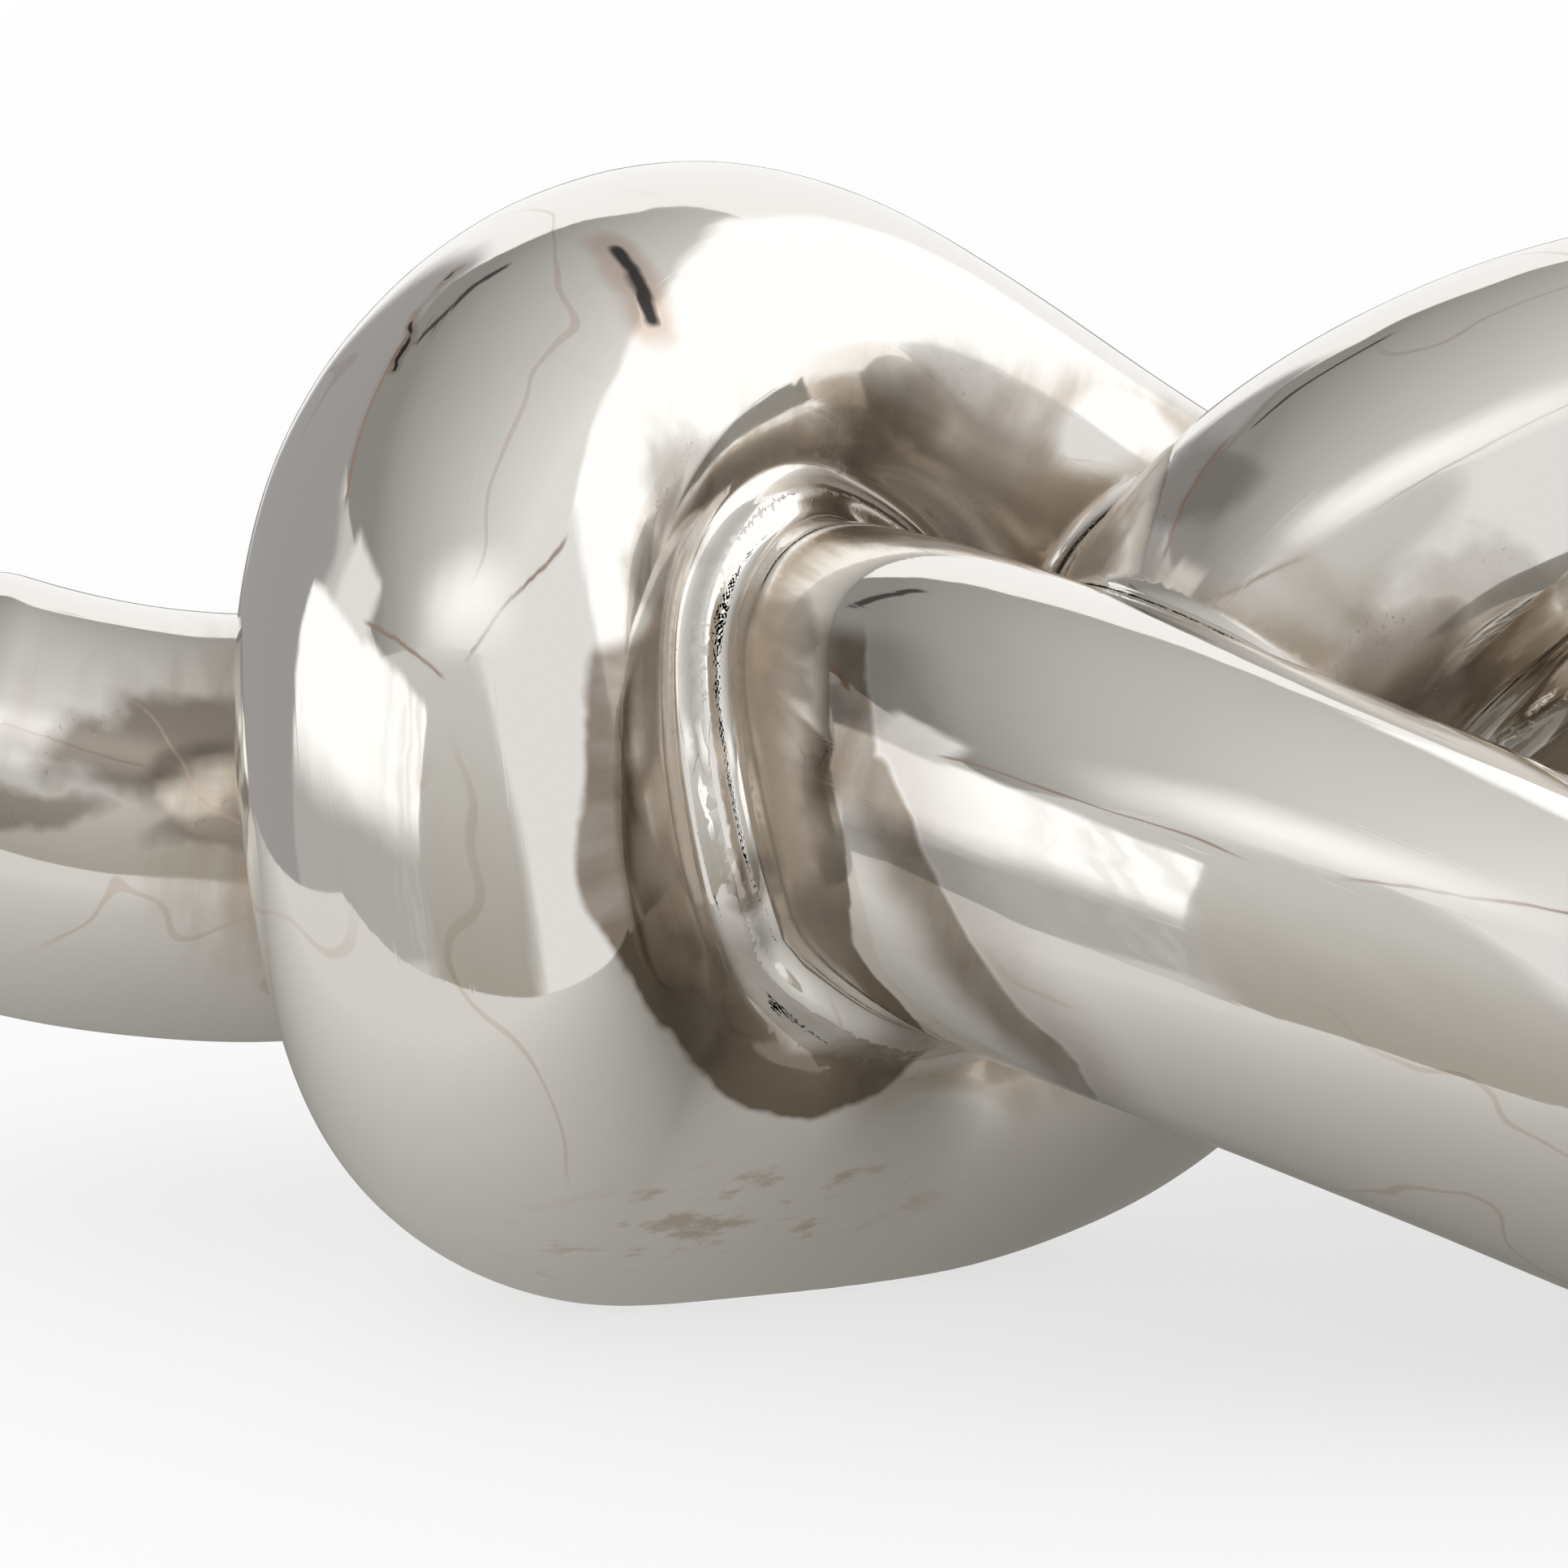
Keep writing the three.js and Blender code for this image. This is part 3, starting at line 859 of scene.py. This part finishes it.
def make_camera():
    a, e = CAMERA_AZIMUTH, CAMERA_ELEVATION
    back = Vector((math.sin(a) * math.cos(e), -math.cos(a) * math.cos(e), math.sin(e)))
    right = Vector((math.cos(a), math.sin(a), 0))
    up = back.cross(right)
    aim = Vector(ROUTE_MIDDLE_MM) * MM + right * CAMERA_AIM_RIGHT + up * CAMERA_AIM_UP
    camera = bpy.data.cameras.new("camera")
    camera.sensor_width = SENSOR_WIDTH
    camera.lens = SENSOR_WIDTH * FOCAL_PIXELS / IMAGE_PIXELS
    camera.clip_start = 0.05
    camera.clip_end = 100
    holder = bpy.data.objects.new("camera", camera)
    turn = Matrix((right, up, back)).transposed().to_4x4()
    holder.matrix_world = Matrix.Translation(aim + back * CAMERA_DISTANCE) @ turn
    bpy.context.scene.collection.objects.link(holder)
    bpy.context.scene.camera = holder


# The studio round the knot. Azimuths run from the camera's side towards the right, in degrees.
CARD_CENTRE = Vector((-0.06, -0.05, 0.1))
WHITE = (1, 1, 1, 1)
FLOOR_GREY = (0.97, 0.97, 0.97, 1)
FLOOR_FRONT = -0.23
FLOOR_LEFT = -0.45
FLOOR_FAR = 6
FILM_HEIGHT = 0.3 * MM
CEILING_HEIGHT = 1.5
CEILING_REACH = 1.6
CEILING_DIM = (0.28, 0.275, 0.26, 1)
CEILING_BRIGHT = (0.84, 0.83, 0.82, 1)
# Share of bright in the ceiling and in the floor's film: at the origin, and per metre to the right and back.
CEILING_SLOPE = (0.48, 0.46, -0.19)
FILM_SLOPE = (-0.14, -2.9, -4.5)
SOFTBOX_WHITE = (1.22, 1.22, 1.22, 1)
SOFTBOX_LOW = (0.46, 0.45, 0.44, 1)
TOP_WHITE = (1.1, 1.1, 1.09, 1)
SIDE_WHITE = (0.84, 0.83, 0.83, 1)
WALL_GREY = (0.36, 0.352, 0.352, 1)
FRONT_GREY = (0.62, 0.612, 0.59, 1)
FRONT_LOW = (0.4, 0.38, 0.335, 1)
ROOM_GREY = (0.62, 0.61, 0.6, 1)
# Painted shade: the film darkens the mirrored floor round and behind the knot.
FILM_SHADE = (0.31, 0.3, 0.275, 1)
FILM_BRIGHT = (0.75, 0.74, 0.72, 1)
FLOOR_GLOW = 0.68
FOLD_GREY = (0.62, 0.61, 0.6, 1)
SEAM_BROWN = (0.3, 0.22, 0.18, 1)
GAP_DARK = (0.06, 0.055, 0.055, 1)
# How far the cards' edges wander, in shares of their sides.
CARD_SHIFT = (0.07, 0.07, 0)


@dataclass
class Card:
    """A glowing sheet round the knot, by the azimuths and elevations that it covers as seen from there.

    Its edges are soft over a share of its width. It may have another colour at its foot, with the shares of
    its height between which that changes, and grey folds.
    """

    name: str
    colour: tuple
    azimuths: tuple
    elevations: tuple
    distance: float
    soft: float = 0.03
    foot: tuple = None
    rise: tuple = (0.35, 0.85)
    folds: float = 0


CARDS = [
    Card("left_room", ROOM_GREY, (-100, -30), (-60, 60), 2.6),
    Card("front_room", ROOM_GREY, (-40, 40), (-60, 60), 2.7),
    Card("left_wall", WALL_GREY, (-164, -84), (-30, 47), 1.7, 0.12),
    Card("left_softbox", SOFTBOX_WHITE, (-93, -12), (-26, 35), 1.5, 0.06, SOFTBOX_LOW, (0.36, 0.6), 0.35),
    Card("left_sky", SIDE_WHITE, (-82, -52), (30, 47), 1.45, 0.2),
    Card("front_wall", FRONT_GREY, (-29, 31), (-60, 44), 1.6, 0.2, FRONT_LOW),
    Card("right_wall", SIDE_WHITE, (14, 98), (-44, 50), 1.7, 0.16),
    Card("right_softbox", SOFTBOX_WHITE, (92, 150), (-5, 46), 1.5, 0.08),
    Card("top_softbox", TOP_WHITE, (-32, 56), (37, 65), 1.2, 0.48),
    Card("left_seam", SEAM_BROWN, (-146, -93), (43, 44.2), 1.4, 0.1),
    Card("front_seam", SEAM_BROWN, (-60, -4), (38, 39), 1.35, 0.1),
    Card("right_seam", SEAM_BROWN, (8, 88), (46, 47), 1.35, 0.1),
    Card("left_gap", GAP_DARK, (-168, -140), (47, 49), 1.3, 0.1),
]


def glow(paint, colour):
    return paint.node("ShaderNodeEmission", None, {"Color": colour, "Strength": 1.0})


def card_light(card):
    """The glow of a card: from its foot's colour to its own, with folds in its right part and soft edges."""
    material = bpy.data.materials.new(card.name)
    paint = Paint(material)
    place = paint.node("ShaderNodeTexCoord", None, None, "UV")
    place = shifted(paint, place, wander(paint, place, 6, 2), CARD_SHIFT)
    across, up = part(paint, place, "X"), part(paint, place, "Y")
    colour = over(paint, between(paint, up, *card.rise), card.foot or card.colour, card.colour)
    if card.folds:
        cloth = noise(paint, scaled(paint, place, (1, 0.12, 1)), 22, 2)
        folded = between(paint, across, 0.5, 0.8) * between(paint, cloth, 0.42, 0.62)
        colour = over(paint, card.folds * folded, colour, FOLD_GREY)
    inside = 1
    for from_edge in (across, 1 - across, up, 1 - up):
        inside = inside * between(paint, from_edge, 0, card.soft)
    clear = paint.node("ShaderNodeBsdfTransparent")
    paint.show(paint.node("ShaderNodeMixShader", None, {0: inside, 1: clear, 2: glow(paint, colour)}))
    return material


def sheet(name, place, material):
    """A flat sheet of the studio: a square of side 2, set in its place."""
    bm = bmesh.new()
    bm.loops.layers.uv.new("UVMap")
    bmesh.ops.create_grid(bm, x_segments=1, y_segments=1, size=1, calc_uvs=True)
    bmesh.ops.transform(bm, matrix=place, verts=bm.verts)
    mesh = bpy.data.meshes.new(name)
    bm.to_mesh(mesh)
    bm.free()
    mesh.materials.append(material)
    made = bpy.data.objects.new(name, mesh)
    bpy.context.scene.collection.objects.link(made)
    return made


def show_in_reflections_only(card):
    card.visible_camera = False
    card.visible_diffuse = False
    card.visible_shadow = False


def card_place(azimuths, elevations, distance):
    """Where a card stands that fills a range of azimuths and elevations round the knot."""
    a, e = math.radians(sum(azimuths) / 2), math.radians(sum(elevations) / 2)
    away = Vector((math.sin(a) * math.cos(e), -math.cos(a) * math.cos(e), math.sin(e)))
    side = Vector((math.cos(a), math.sin(a), 0))
    up = side.cross(away) * -1
    half_width = distance * math.cos(e) * math.tan(math.radians(azimuths[1] - azimuths[0]) / 2)
    half_height = distance * math.tan(math.radians(elevations[1] - elevations[0]) / 2)
    turn = Matrix((side * half_width, up * half_height, away)).transposed().to_4x4()
    return Matrix.Translation(CARD_CENTRE + away * distance) @ turn


def level_place(x0, x1, y0, y1, z):
    middle = Vector(((x0 + x1) / 2, (y0 + y1) / 2, z))
    return Matrix.Translation(middle) @ Matrix.Diagonal(((x1 - x0) / 2, (y1 - y0) / 2, 1, 1))


def even_slope(paint, start, across, back):
    """A value that changes evenly over a level sheet."""
    place = paint.node("ShaderNodeTexCoord", None, None, "Object")
    return start + across * part(paint, place, "X") + back * part(paint, place, "Y")


def ceiling_glow():
    """Dim over the left and the back, bright over the right and the front."""
    material = bpy.data.materials.new("ceiling")
    paint = Paint(material)
    paint.show(glow(paint, over(paint, even_slope(paint, *CEILING_SLOPE), CEILING_DIM, CEILING_BRIGHT)))
    return material


def floor_paper():
    """White paper that keeps a soft shadow: part of its white shows however little light reaches it."""
    material = bpy.data.materials.new("floor")
    paint = Paint(material)
    rays = ("Is Camera Ray", "Is Glossy Ray", "Is Transmission Ray")
    seen, mirrored, through = (paint.node("ShaderNodeLightPath", None, None, ray) for ray in rays)
    paper = paint.node("ShaderNodeBsdfDiffuse", None, {"Color": FLOOR_GREY})
    share = FLOOR_GLOW * (seen + mirrored + through)
    paint.show(paint.node("ShaderNodeMixShader", None, {0: share, 1: paper, 2: glow(paint, WHITE)}))
    return material


def floor_film():
    """A grey film over the paper, which the plating mirrors as the table in front of it, with painted shade
    round and behind the knot.
    """
    material = bpy.data.materials.new("floor_film")
    paint = Paint(material)
    # Painted shade: darkest round and behind the knot, lighter towards the front and the left.
    share = even_slope(paint, *FILM_SLOPE)
    dark = paint.node("ShaderNodeBsdfTransparent", None, {"Color": FILM_SHADE})
    bright = paint.node("ShaderNodeBsdfTransparent", None, {"Color": FILM_BRIGHT})
    paint.show(paint.node("ShaderNodeMixShader", None, {0: share, 1: dark, 2: bright}))
    return material


def make_studio():
    world = bpy.data.worlds.new("studio")
    bpy.context.scene.world = world
    paint = Paint(world)
    light = paint.node("ShaderNodeBackground", None, {"Color": WHITE, "Strength": 1.0})
    paint.node("ShaderNodeOutputWorld", None, {"Surface": light})
    edges = (FLOOR_LEFT, FLOOR_FAR, FLOOR_FRONT, FLOOR_FAR)
    sheet("floor", level_place(*edges, 0), floor_paper())
    show_in_reflections_only(sheet("floor_film", level_place(*edges, FILM_HEIGHT), floor_film()))
    reach = CEILING_REACH
    ceiling = level_place(-reach, reach, -reach, reach, CEILING_HEIGHT)
    show_in_reflections_only(sheet("ceiling", ceiling, ceiling_glow()))
    for card in CARDS:
        place = card_place(card.azimuths, card.elevations, card.distance)
        show_in_reflections_only(sheet(card.name, place, card_light(card)))


make_camera()
make_castings()
make_studio()
bpy.context.scene.view_settings.view_transform = "Standard"
